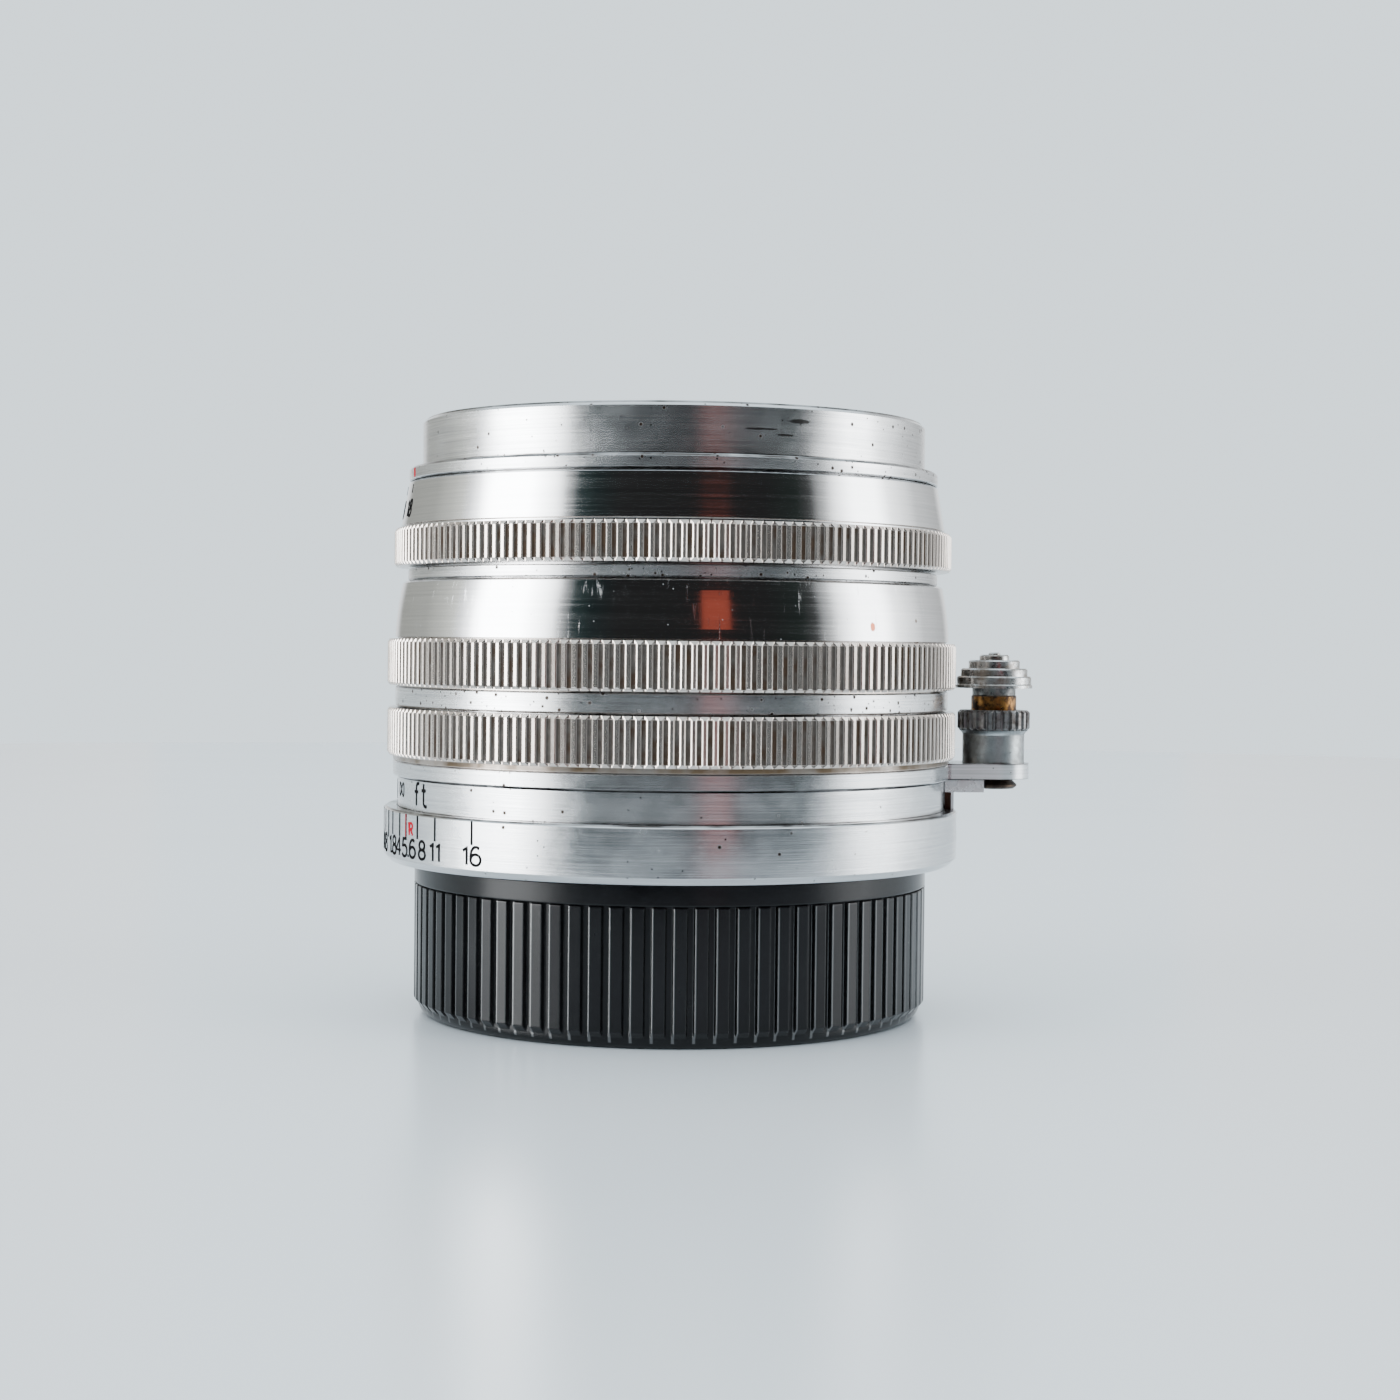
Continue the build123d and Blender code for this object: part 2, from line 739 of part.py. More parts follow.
def rotor_slot():
    path = slot_locus(20)
    left = []
    right = []
    for k, (x, y) in enumerate(path):
        before = path[max(k - 1, 0)]
        after = path[min(k + 1, len(path) - 1)]
        dx = after[0] - before[0]
        dy = after[1] - before[1]
        length = math.hypot(dx, dy)
        nx = -dy / length * drive_slot / 2
        ny = dx / length * drive_slot / 2
        left.append((x + nx, y + ny))
        right.append((x - nx, y - ny))
    outline = make_face(Polyline(*left, *right[::-1], close=True))
    outline += Pos(*path[0], 0) * Circle(drive_slot / 2)
    outline += Pos(*path[-1], 0) * Circle(drive_slot / 2)
    return extrude(Pos(0, 0, rotor_z - 0.2) * outline, rotor_top_z - rotor_z + 0.4)


def iris_rotor():
    corners = [(15.2, rotor_z), (19.4, rotor_z), (19.4, rotor_tube_top_z), (18.9, rotor_tube_top_z)]
    corners += [(18.9, rotor_top_z), (15.2, rotor_top_z)]
    body = lathe(corners)
    slot = rotor_slot()
    for k in range(blade_count):
        body -= turn(slot, 360 * k / blade_count)
    return body - radial_rod(link_r, 18.0, 22.6, link_z, link_angle)


def aperture_ring():
    bore = barrel_r + gap
    top = aperture_knurl_top_z
    corners = [(bore, aperture_z), (22.7, aperture_z), (22.7, top - 0.1), (22.5, top), (22.5, top + 0.15)]
    corners += [(aperture_cone_r, top + 0.25), (aperture_cone_top_r, aperture_top_z - 0.15)]
    corners += [(aperture_cone_top_r - 0.15, aperture_top_z), (bore, aperture_top_z)]
    cone = lathe(corners)
    grip = straight_knurl(aperture_grip_r, bore, aperture_z, aperture_knurl_top_z)
    return cone + grip - radial_rod(link_r, 20.0, 24.0, link_z, link_angle)


def aperture_link_screw():
    rod = radial_rod(link_r, 18.7, 22.7, link_z, link_angle)
    slot = turn(slab(22.4, 23.0, 0.35, link_z - 1, link_z + 1), link_angle)
    return rod - slot


# ================================================================ every piece, by name
pieces = {
    "rear_cap": rear_cap,
    "mount_barrel": mount_barrel,
    "depth_scale_ring": depth_scale_ring,
    "depth_ring_screws": depth_ring_screws,
    "lock_catch": lock_catch,
    "catch_screws": catch_screws,
    "guide_keys": guide_keys,
    "guide_key_screws": guide_key_screws,
    "focus_retaining_ring": focus_retaining_ring,
    "focus_stop_pin": focus_stop_pin,
    "focus_helicoid": focus_helicoid,
    "distance_scale_ring": distance_scale_ring,
    "lock_arm": lock_arm,
    "arm_screws": arm_screws,
    "focus_grip_ring": focus_grip_ring,
    "grip_ring_screws": grip_ring_screws,
    "lock_post": lock_post,
    "lock_collar": lock_collar,
    "lock_spring": lock_spring,
    "button_cap": button_cap,
    "button_stem": button_stem,
    "lock_pin_head": lock_pin_head,
    "inner_helicoid": inner_helicoid,
    "rangefinder_cam": rangefinder_cam,
    "head_skirt": head_skirt,
    "head_grip_ring": head_grip_ring,
    "head_cone": head_cone,
    "aperture_seat_ring": aperture_seat_ring,
    "head_barrel": head_barrel,
    "index_ring": index_ring,
    "index_ring_screws": index_ring_screws,
    "filter_ring": filter_ring,
    "name_ring": name_ring,
    "front_cell": front_cell,
    "front_retainer": front_retainer,
    "element_1": element_1,
    "element_2": element_2,
    "element_3": element_3,
    "element_4": element_4,
    "element_5": element_5,
    "element_6": element_6,
    "rear_cell": rear_cell,
    "rear_retainer": rear_retainer,
    "iris_housing": iris_housing,
    "iris_lock_ring": iris_lock_ring,
    "iris_rotor": iris_rotor,
    "aperture_ring": aperture_ring,
    "aperture_link_screw": aperture_link_screw,
}

for name, build in pieces.items():
    export_step(build(), f"parts/{name}.step")

for index in range(blade_count):
    export_step(iris_blade(index), f"parts/iris_blade_{index + 1:02d}.step")
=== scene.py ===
import json
import math

import bpy
from mathutils import Euler, Matrix, Vector


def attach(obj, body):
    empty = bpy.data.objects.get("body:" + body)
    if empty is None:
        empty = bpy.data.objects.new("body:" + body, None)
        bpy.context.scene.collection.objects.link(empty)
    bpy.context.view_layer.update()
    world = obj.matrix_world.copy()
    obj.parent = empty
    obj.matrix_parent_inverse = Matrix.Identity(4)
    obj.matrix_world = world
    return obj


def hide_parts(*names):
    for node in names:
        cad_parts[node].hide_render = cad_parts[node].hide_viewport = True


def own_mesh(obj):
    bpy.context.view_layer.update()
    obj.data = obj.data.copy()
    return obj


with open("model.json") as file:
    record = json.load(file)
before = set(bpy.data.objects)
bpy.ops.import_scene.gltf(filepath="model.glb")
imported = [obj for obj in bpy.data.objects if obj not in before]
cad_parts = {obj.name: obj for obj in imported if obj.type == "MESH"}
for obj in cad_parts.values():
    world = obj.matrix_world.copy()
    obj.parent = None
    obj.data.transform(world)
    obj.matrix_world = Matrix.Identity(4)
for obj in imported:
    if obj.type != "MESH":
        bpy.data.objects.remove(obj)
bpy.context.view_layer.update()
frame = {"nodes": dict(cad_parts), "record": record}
nodes = frame["nodes"]

MM = 0.001  # metres in a millimetre
PER_MM = 1000.0  # millimetres in a metre

# Camera: distance from the lens axis, eye height and focal length in mm, and angles in degrees.
CAMERA_DISTANCE = 200.0
CAMERA_HEIGHT = 30.77
CAMERA_FOCAL = 60.96
CAMERA_PITCH = 1.33
CAMERA_YAW = 0.68
CAMERA_ROLL = 0.6

# Scales: azimuths of the index marks in degrees about +Z, and the mechanism behind the numbers.
INDEX_ANGLE = 197.0
APERTURE_INDEX_ANGLE = 197.4
DEGREES_PER_F_NUMBER = 2.1
FOCAL_LENGTH_M = 0.050
HELICOID_LEAD_M = 0.0054
FOOT_M = 0.3048
DEGREES_PER_STOP = 7.5


# ---------------------------------------------------------------- node helpers
class Tree:
    """A material's node tree, with short calls for the nodes used here."""

    def __init__(self, name):
        self.material = bpy.data.materials.new(name)
        self.material.use_nodes = True
        self.tree = self.material.node_tree
        self.shader = self.tree.nodes["Principled BSDF"]

    def add(self, kind, inputs=None, **settings):
        node = self.tree.nodes.new(kind)
        for key, value in settings.items():
            setattr(node, key, value)
        for key, value in (inputs or {}).items():
            self.put(node.inputs[key], value)
        return node

    def put(self, socket, value):
        if isinstance(value, bpy.types.NodeSocket):
            self.tree.links.new(value, socket)
        else:
            socket.default_value = value

    def set(self, **values):
        for key, value in values.items():
            self.put(self.shader.inputs[key.replace("_", " ")], value)

    def position(self):
        return self.add("ShaderNodeTexCoord").outputs["Object"]

    def scaled(self, sx, sy, sz):
        return self.add("ShaderNodeMapping", {"Vector": self.position(), "Scale": (sx, sy, sz)}).outputs[0]

    def noise(self, vector, scale, detail=2.0, rough=0.5):
        inputs = {"Vector": vector, "Scale": scale, "Detail": detail, "Roughness": rough}
        return self.add("ShaderNodeTexNoise", inputs).outputs["Fac"]

    def math(self, operation, a, b=0.0):
        node = self.add("ShaderNodeMath", operation=operation)
        self.put(node.inputs[0], a)
        self.put(node.inputs[1], b)
        return node.outputs[0]

    def ranged(self, value, low, high, to_low=0.0, to_high=1.0):
        inputs = {"Value": value, "From Min": low, "From Max": high, "To Min": to_low, "To Max": to_high}
        return self.add("ShaderNodeMapRange", inputs).outputs[0]

    def mix(self, factor, a, b):
        node = self.add("ShaderNodeMix", data_type="RGBA")
        self.put(node.inputs[0], factor)
        self.put(node.inputs[6], a)
        self.put(node.inputs[7], b)
        return node.outputs[2]

    def height(self):
        """Z in millimetres."""
        parts = self.add("ShaderNodeSeparateXYZ", {"Vector": self.position()})
        return self.math("MULTIPLY", parts.outputs["Z"], PER_MM)

    def radius(self):
        """Distance from the lens axis, in millimetres."""
        scale = (PER_MM, PER_MM, 0)
        flat = self.add("ShaderNodeVectorMath", {0: self.position(), 1: scale}, operation="MULTIPLY")
        return self.add("ShaderNodeVectorMath", {0: flat.outputs[0]}, operation="LENGTH").outputs["Value"]

    def specks(self, scale, size, share):
        """Mask of small round spots in a share of the cells of a random grid."""
        cells = self.add("ShaderNodeTexVoronoi", {"Vector": self.position(), "Scale": scale})
        near = self.ranged(cells.outputs["Distance"], size * 0.6, size, 1.0, 0.0)
        chosen = self.add("ShaderNodeSeparateColor", {0: cells.outputs["Color"]})
        on = self.math("LESS_THAN", chosen.outputs[0], share)
        return self.math("MULTIPLY", near, on)

    def spots(self, places):
        """Mask of single marks, each an ellipsoid: x, y, z, half width and half height in millimetres."""
        total = 0.0
        for x, y, z, wide, high in places:
            inputs = {"Vector": self.position(), "Location": (-x / wide, -y / wide, -z / high)}
            inputs["Scale"] = (PER_MM / wide, PER_MM / wide, PER_MM / high)
            local = self.add("ShaderNodeMapping", inputs).outputs[0]
            ragged = self.noise(self.position(), 2200.0, 3.0)
            length = self.add("ShaderNodeVectorMath", {0: local}, operation="LENGTH").outputs["Value"]
            edge = self.math("ADD", length, ragged)
            total = self.math("MAXIMUM", total, self.ranged(edge, 1.2, 1.5, 1.0, 0.0))
        return total

    def seams(self, heights, half):
        """Mask of thin dark lines at given heights, patchy round the ring: dirt, and at the ring joints also
        painted shade in the crevices.
        """
        z = self.height()
        total = 0.0
        for seam in heights:
            off = self.math("ABSOLUTE", self.math("SUBTRACT", z, seam))
            total = self.math("MAXIMUM", total, self.ranged(off, half * 0.6, half, 1.0, 0.0))
        patchy = self.ranged(self.noise(self.position(), 330.0, 3.0), 0.35, 0.6, 0.35, 0.9)
        return self.math("MULTIPLY", total, patchy)

    def bump(self, height, distance, strength=1.0, bevel=0.0):
        node = self.add("ShaderNodeBump", {"Height": height, "Distance": distance, "Strength": strength})
        if bevel:
            rounded = self.add("ShaderNodeBevel", {"Radius": bevel}, samples=6)
            self.put(node.inputs["Normal"], rounded.outputs[0])
        self.put(self.shader.inputs["Normal"], node.outputs[0])


def rgb(r, g, b):
    return (r, g, b, 1.0)


BRIGHT = rgb(0.80, 0.81, 0.82)
SILVER = rgb(0.70, 0.715, 0.73)
DULL = rgb(0.56, 0.575, 0.59)
WORN_WARM = rgb(0.49, 0.425, 0.38)
WORN_PALE = rgb(0.66, 0.615, 0.575)
GRIME = rgb(0.19, 0.125, 0.085)
# Near black: dust specks and dings, and painted shade in the ring joints.
DARK_GRIME_AND_SHADE = rgb(0.045, 0.036, 0.031)
PIT = rgb(0.04, 0.03, 0.024)
OIL = rgb(0.085, 0.046, 0.012)
GROOVE_DARK = rgb(0.014, 0.011, 0.009)
GROOVE_BROWN = rgb(0.05, 0.031, 0.02)
STAIN = rgb(0.3, 0.1, 0.06)

# Roughness of polished chrome, from clean to most scratched.
POLISH = (0.06, 0.15)

# Heights of the joints between the rings, in millimetres.
JOINTS = (17.22, 19.75, 21.1, 25.5, 27.15, 35.75, 36.85, 44.05, 45.05, 45.23, 49.14)


def satin_metal(name, haze, pitting, roughness=0.21, dings=(), plate_r=None):
    """Turned satin chrome: fine rings around the axis, dull patches, pits, dust, and dark lines at the
    joints that are partly dirt and partly painted shade.

    haze is the share of light scattered instead of mirrored; beyond plate_r the metal is duller still.
    """
    t = Tree(name)
    rings = t.noise(t.scaled(90, 90, 9000), 1.0, 3.0)
    patches = t.noise(t.position(), 260.0, 4.0, 0.6)
    base = t.mix(t.ranged(rings, 0.3, 0.7), DULL, BRIGHT)
    base = t.mix(t.ranged(patches, 0.45, 0.75, 0.0, 0.5), base, SILVER)
    pits = t.specks(1100.0, 0.2, pitting)
    base = t.mix(pits, base, PIT)
    fine = t.specks(2200.0, 0.2, pitting * 0.6)
    base = t.mix(fine, base, DARK_GRIME_AND_SHADE)
    if dings:
        base = t.mix(t.math("MULTIPLY", t.spots(dings), 0.85), base, DARK_GRIME_AND_SHADE)
    # dark lines at the ring joints: partly dirt, partly painted shade in the crevices that also dims their
    # bright edge reflections
    joints = t.seams(JOINTS, 0.11)
    base = t.mix(joints, base, DARK_GRIME_AND_SHADE)
    scattered = t.ranged(patches, 0.3, 0.7, haze * 0.8, haze * 1.2)
    if plate_r:
        scattered = t.math("ADD", scattered, t.ranged(t.radius(), plate_r, plate_r + 0.2, 0.0, 0.35))
    t.set(Base_Color=base, Metallic=t.math("SUBTRACT", 1.0, scattered))
    rough = t.ranged(patches, 0.3, 0.7, roughness - 0.05, roughness + 0.07)
    t.set(Roughness=t.math("ADD", rough, t.math("MULTIPLY", pits, 0.3)))
    t.bump(rings, 0.000006, 0.5)
    return t.material


def polished_metal(name, stains):
    """Bright chrome with hairline scratches, a few pits, dust and brown stains at given places."""
    t = Tree(name)
    hairs = t.noise(t.scaled(60, 60, 5200), 1.0, 3.0, 0.6)
    upright = t.noise(t.scaled(3600, 3600, 130), 1.0, 2.0)
    base = t.mix(t.ranged(hairs, 0.35, 0.7), SILVER, BRIGHT)
    pits = t.specks(520.0, 0.12, 0.12)
    base = t.mix(pits, base, GRIME)
    base = t.mix(t.spots(stains), base, STAIN)
    # dark lines at the ring joints: partly dirt, partly painted shade in the crevices
    base = t.mix(t.seams(JOINTS, 0.09), base, DARK_GRIME_AND_SHADE)
    dust = t.specks(2700.0, 0.13, 0.07)
    base = t.mix(dust, base, rgb(0.5, 0.5, 0.5))
    t.set(Base_Color=base, Metallic=t.math("SUBTRACT", 1.0, dust))
    scratches = t.ranged(upright, 0.62, 0.75, 0.0, 0.18)
    rough = t.ranged(hairs, 0.3, 0.75, *POLISH)
    t.set(Roughness=t.math("ADD", rough, scratches))
    t.bump(hairs, 0.000003, 0.5)
    return t.material


def knurl_colour(t, crest_r, depth, bands):
    """Worn metal with dark brown grime in the grooves of knurled bands: colour and grime mask."""
    deep = t.ranged(t.radius(), crest_r - depth * 0.5, crest_r - depth * 0.28, 1.0, 0.0)
    z = t.height()
    inside = 0.0
    for low, high in bands:
        off = t.math("ABSOLUTE", t.math("SUBTRACT", z, (low + high) / 2))
        half = (high - low) / 2
        inside = t.math("MAXIMUM", inside, t.ranged(off, half - 0.3, half - 0.2, 1.0, 0.0))
    blotches = t.noise(t.position(), 380.0, 4.0, 0.65)
    amount = t.math("MULTIPLY", inside, t.ranged(blotches, 0.35, 0.6, 0.85, 1.0))
    grime = t.math("MULTIPLY", deep, amount)
    dirt = t.mix(t.ranged(blotches, 0.42, 0.66), GROOVE_DARK, GROOVE_BROWN)
    metal = t.mix(t.ranged(blotches, 0.3, 0.7), WORN_WARM, WORN_PALE)
    return t.mix(grime, metal, dirt), grime


def knurled_metal(name, crest_r, depth, bands, oil_z):
    """Knurled rings, with a line of yellow-brown grime at one height."""
    t = Tree(name)
    colour, grime = knurl_colour(t, crest_r, depth, bands)
    oil = t.seams((oil_z,), 0.25)
    t.set(Base_Color=t.mix(oil, colour, OIL))
    t.set(Metallic=t.ranged(t.math("MAXIMUM", grime, oil), 0.0, 1.0, 0.9, 0.1))
    t.set(Roughness=t.ranged(grime, 0.0, 1.0, 0.2, 0.6))
    t.shader.inputs["Specular IOR Level"].default_value = 0.1
    grain = t.noise(t.position(), 5000.0, 2.0)
    t.bump(grain, 0.000004, 0.5)
    return t.material


def aperture_metal(name, crest_r, depth, band):
    """Knurled band with a polished cone above it."""
    t = Tree(name)
    knurl, grime = knurl_colour(t, crest_r, depth, (band,))
    hairs = t.noise(t.scaled(60, 60, 5200), 1.0, 3.0, 0.6)
    cone = t.mix(t.ranged(hairs, 0.35, 0.7), SILVER, BRIGHT)
    upper = t.math("GREATER_THAN", t.height(), band[1] + 0.05)
    t.set(Base_Color=t.mix(upper, knurl, cone))
    t.set(Metallic=t.math("MAXIMUM", upper, t.ranged(grime, 0.0, 1.0, 0.9, 0.1)))
    knurl_rough = t.ranged(grime, 0.0, 1.0, 0.2, 0.6)
    t.shader.inputs["Specular IOR Level"].default_value = 0.1
    cone_rough = t.ranged(hairs, 0.3, 0.75, *POLISH)
    low = t.math("MULTIPLY", knurl_rough, t.math("SUBTRACT", 1.0, upper))
    t.set(Roughness=t.math("ADD", low, t.math("MULTIPLY", cone_rough, upper)))
    t.bump(hairs, 0.000003, 0.5)
    return t.material


def post_metal(name, light, dark, roughness):
    """Small turned steel parts with stains."""
    t = Tree(name)
    stains = t.noise(t.position(), 900.0, 4.0, 0.65)
    t.set(Base_Color=t.mix(t.ranged(stains, 0.42, 0.62), light, dark), Metallic=1.0)
    t.set(Roughness=t.ranged(stains, 0.3, 0.7, roughness, roughness + 0.25))
    t.bump(t.noise(t.scaled(200, 200, 9000), 1.0, 2.0), 0.000006, 0.6)
    return t.material


def stem_metal(name):
    """Button neck: grey above, brown and brassy below."""
    t = Tree(name)
    stains = t.noise(t.position(), 1100.0, 4.0, 0.65)
    brown = t.mix(t.ranged(stains, 0.4, 0.58), rgb(0.40, 0.2, 0.06), rgb(0.05, 0.03, 0.02))
    grey = t.mix(t.ranged(stains, 0.4, 0.6), rgb(0.3, 0.31, 0.3), rgb(0.12, 0.12, 0.12))
    upper = t.ranged(t.height(), 26.65, 26.85)
    t.set(Base_Color=t.mix(upper, brown, grey), Metallic=1.0)
    t.set(Roughness=t.ranged(stains, 0.3, 0.7, 0.25, 0.5))
    return t.material


def catch_metal(name, strip_r, bend_z):
    """Satin chrome, dark brown on the inner part of the upright strip, below the bend."""
    t = Tree(name)
    stains = t.noise(t.position(), 900.0, 3.0, 0.6)
    inner = t.math("LESS_THAN", t.radius(), strip_r)
    low = t.math("LESS_THAN", t.height(), bend_z)
    # darker brown on the strip's inner side below the bend
    dark_brown_tone = t.mix(t.ranged(stains, 0.4, 0.6), rgb(0.09, 0.05, 0.035), rgb(0.04, 0.025, 0.02))
    clean = t.mix(t.ranged(stains, 0.4, 0.65), BRIGHT, SILVER)
    inner_below_bend = t.math("MULTIPLY", inner, low)
    t.set(Base_Color=t.mix(inner_below_bend, clean, dark_brown_tone), Metallic=t.ranged(inner_below_bend, 0.0, 1.0, 0.68, 1.0))
    t.set(Roughness=t.ranged(stains, 0.3, 0.7, 0.22, 0.34))
    return t.material


def rib_edges(t, count, edge, width):
    """Mask of one edge of the ribs set evenly round the axis, in shares of their pitch."""
    parts = t.add("ShaderNodeSeparateXYZ", {"Vector": t.position()})
    bearing = t.math("ARCTAN2", parts.outputs["Y"], parts.outputs["X"])
    turns = t.math("MULTIPLY", bearing, count / (2 * math.pi))
    phase = t.math("FRACT", t.math("ADD", turns, 0.5))
    off = t.math("ABSOLUTE", t.math("SUBTRACT", phase, edge))
    return t.ranged(off, width * 0.5, width, 1.0, 0.0)


def black_plastic(name, ribs, rib_root, rib_top):
    """Semi-gloss black moulding with a little dust, and a painted highlight: extra shine on the left-facing
    edge of each rib.
    """
    t = Tree(name)
    patches = t.noise(t.position(), 220.0, 4.0, 0.6)
    base = t.mix(t.ranged(patches, 0.35, 0.7), rgb(0.003, 0.003, 0.0035), rgb(0.006, 0.0065, 0.007))
    dust = t.specks(1500.0, 0.1, 0.03)
    base = t.mix(t.math("MULTIPLY", dust, 0.6), base, rgb(0.3, 0.3, 0.29))
    below = t.math("LESS_THAN", t.height(), rib_top)
    outer = t.math("GREATER_THAN", t.radius(), rib_root)
    # painted highlight: raised specular on the left-facing edge of each rib only, where the bright left of
    # the room glints
    lit_edge_sheen = t.math("MULTIPLY", rib_edges(t, ribs, 0.19, 0.09), t.math("MULTIPLY", below, outer))
    t.set(Base_Color=base, Specular_IOR_Level=t.ranged(lit_edge_sheen, 0.0, 1.0, 0.22, 1.6))
    t.set(Roughness=t.ranged(patches, 0.3, 0.7, 0.13, 0.24))
    t.bump(t.noise(t.position(), 2600.0, 3.0), 0.00001, 0.25, bevel=0.00015)
    return t.material


def plain_metal(name, light, dark, roughness, scale):
    """Machined metal for inner pieces."""
    t = Tree(name)
    rings = t.noise(t.scaled(100, 100, scale), 1.0, 3.0)
    t.set(Base_Color=t.mix(t.ranged(rings, 0.35, 0.65), light, dark), Metallic=1.0)
    t.set(Roughness=t.ranged(rings, 0.3, 0.7, roughness, roughness + 0.12))
    return t.material


def black_paint(name):
    """Matt black enamel with a fine grain."""
    t = Tree(name)
    grain = t.noise(t.position(), 1800.0, 4.0, 0.6)
    t.set(Base_Color=t.mix(t.ranged(grain, 0.35, 0.7), rgb(0.01, 0.01, 0.011), rgb(0.024, 0.024, 0.025)))
    t.set(Roughness=t.ranged(grain, 0.3, 0.7, 0.32, 0.48))
    t.shader.inputs["Specular IOR Level"].default_value = 0.3
    t.bump(grain, 0.000008, 0.3)
    return t.material


def coated_glass(name):
    """Clear glass with a faint bloom of cleaning marks."""
    t = Tree(name)
    marks = t.noise(t.position(), 140.0, 3.0, 0.6)
    t.set(Base_Color=t.mix(t.ranged(marks, 0.3, 0.7), rgb(0.93, 0.95, 1.0), rgb(0.97, 0.96, 0.93)))
    t.set(Roughness=t.ranged(marks, 0.4, 0.8, 0.0, 0.03))
    t.shader.inputs["Transmission Weight"].default_value = 1.0
    t.shader.inputs["IOR"].default_value = 1.62
    t.shader.inputs["Specular IOR Level"].default_value = 0.12
    t.shader.inputs["Coat Weight"].default_value = 0.12
    t.shader.inputs["Coat Tint"].default_value = rgb(0.72, 0.7, 1.0)
    return t.material


def paint_fill(name, light, dark):
    """Paint in the engraved marks."""
    t = Tree(name)
    grain = t.noise(t.position(), 6000.0, 3.0)
    t.set(Base_Color=t.mix(t.ranged(grain, 0.35, 0.7), light, dark))
    t.set(Roughness=t.ranged(grain, 0.3, 0.7, 0.5, 0.7))
    t.shader.inputs["Specular IOR Level"].default_value = 0.0
    return t.material


def floor_material(name):
    """Pale table top with a soft sheen."""
    t = Tree(name)
    soft = t.noise(t.position(), 5.0, 3.0)
    base = t.mix(t.ranged(soft, 0.3, 0.7), rgb(0.665, 0.712, 0.752), rgb(0.695, 0.74, 0.778))
    t.set(Base_Color=base, Roughness=t.ranged(soft, 0.3, 0.7, 0.2, 0.26))
    return t.material


# ---------------------------------------------------------------- materials on the CAD nodes
# Marks at given places: x, y, z, half width and half height in mm. Bands are from z to z.
RIM_DINGS = ((9.5, -18.7, 47.9, 1.1, 0.2), (6.5, -20.0, 47.2, 1.7, 0.09), (8.4, -19.25, 46.8, 0.8, 0.1))
CONE_STAINS = ((15.4, -17.16, 32.3, 0.32, 0.42),)
GRIP_BANDS = ((21.5, 25.4), (27.15, 31.05))
APERTURE_BAND = (37.0, 40.1)
KNURL_DEPTH = 0.17

SATIN = satin_metal("satin_chrome", 0.02, 0.06)
DISTANCE = satin_metal("distance_chrome", 0.085, 0.08)
ARM = satin_metal("arm_chrome", 0.04, 0.16, plate_r=23.4)
SKIRT = satin_metal("skirt_chrome", 0.08, 0.7)
SEAT = satin_metal("seat_chrome", 0.11, 0.6)
INDEX = satin_metal("index_chrome", 0.07, 0.6)
RIM = satin_metal("rim_chrome", 0.05, 0.2, roughness=0.2, dings=RIM_DINGS)
POLISHED = polished_metal("polished_chrome", CONE_STAINS)
KNURL = knurled_metal("knurled_chrome", 23.8, KNURL_DEPTH, GRIP_BANDS, oil_z=21.32)
APERTURE = aperture_metal("aperture_chrome", 23.3, KNURL_DEPTH, APERTURE_BAND)
BUTTON = post_metal("button_chrome", rgb(0.6, 0.61, 0.61), rgb(0.26, 0.23, 0.2), 0.2)
POST = post_metal("post_steel", rgb(0.42, 0.45, 0.46), rgb(0.28, 0.29, 0.29), 0.24)
COLLAR = post_metal("collar_steel", rgb(0.33, 0.33, 0.33), rgb(0.12, 0.1, 0.09), 0.28)
STEM = stem_metal("stem_metal")
CATCH = catch_metal("catch_chrome", strip_r=23.52, bend_z=18.7)
PIN = post_metal("lock_pin_brass", rgb(0.1, 0.07, 0.05), rgb(0.04, 0.03, 0.025), 0.3)
CAP = black_plastic("cap_plastic", ribs=82, rib_root=20.95, rib_top=10.85)
BRASS = plain_metal("inner_brass", rgb(0.66, 0.5, 0.25), rgb(0.5, 0.37, 0.18), 0.25, 4000)
STEEL = plain_metal("screw_steel", rgb(0.5, 0.5, 0.5), rgb(0.32, 0.31, 0.3), 0.28, 4000)
MOUNT = plain_metal("mount_chrome", rgb(0.7, 0.7, 0.71), rgb(0.55, 0.55, 0.56), 0.2, 5000)
BLADE = plain_metal("blade_steel", rgb(0.12, 0.12, 0.13), rgb(0.07, 0.07, 0.08), 0.35, 3000)
BLACK = black_paint("black_enamel")
GLASS = coated_glass("coated_glass")

by_node = {
    "rear_cap": CAP,
    "filter_ring": RIM,
    "index_ring": INDEX,
    "aperture_seat_ring": SEAT,
    "head_skirt": SKIRT,
    "lock_arm": ARM,
    "distance_scale_ring": DISTANCE,
    "head_cone": POLISHED,
    "focus_grip_ring": KNURL,
    "head_grip_ring": KNURL,
    "aperture_ring": APERTURE,
    "button_cap": BUTTON,
    "button_stem": STEM,
    "lock_post": POST,
    "lock_collar": COLLAR,
    "lock_pin_head": PIN,
    "lock_catch": CATCH,
    "mount_barrel": MOUNT,
    "head_barrel": MOUNT,
}
by_slot = {
    "satin_chrome": SATIN,
    "polished_chrome": POLISHED,
    "steel": STEEL,
    "brass": BRASS,
    "mount_chrome": MOUNT,
    "black_enamel": BLACK,
    "blade_steel": BLADE,
    "glass": GLASS,
    "cap_plastic": CAP,
}
slots = {s["node"]: s["material_slot"] for s in frame["record"]["subparts"]}
for name, node in nodes.items():
    material = by_node.get(name, by_slot[slots[name]])
    node.data.materials.clear()
    node.data.materials.append(material)


# ---------------------------------------------------------------- marks on the rings
BLACK_FILL = paint_fill("black_fill", rgb(0.006, 0.006, 0.007), rgb(0.02, 0.018, 0.017))
RED_FILL = paint_fill("red_fill", rgb(0.55, 0.012, 0.03), rgb(0.38, 0.01, 0.02))
MARK_DEPTH = 0.02
MARK_RISE = 0.02


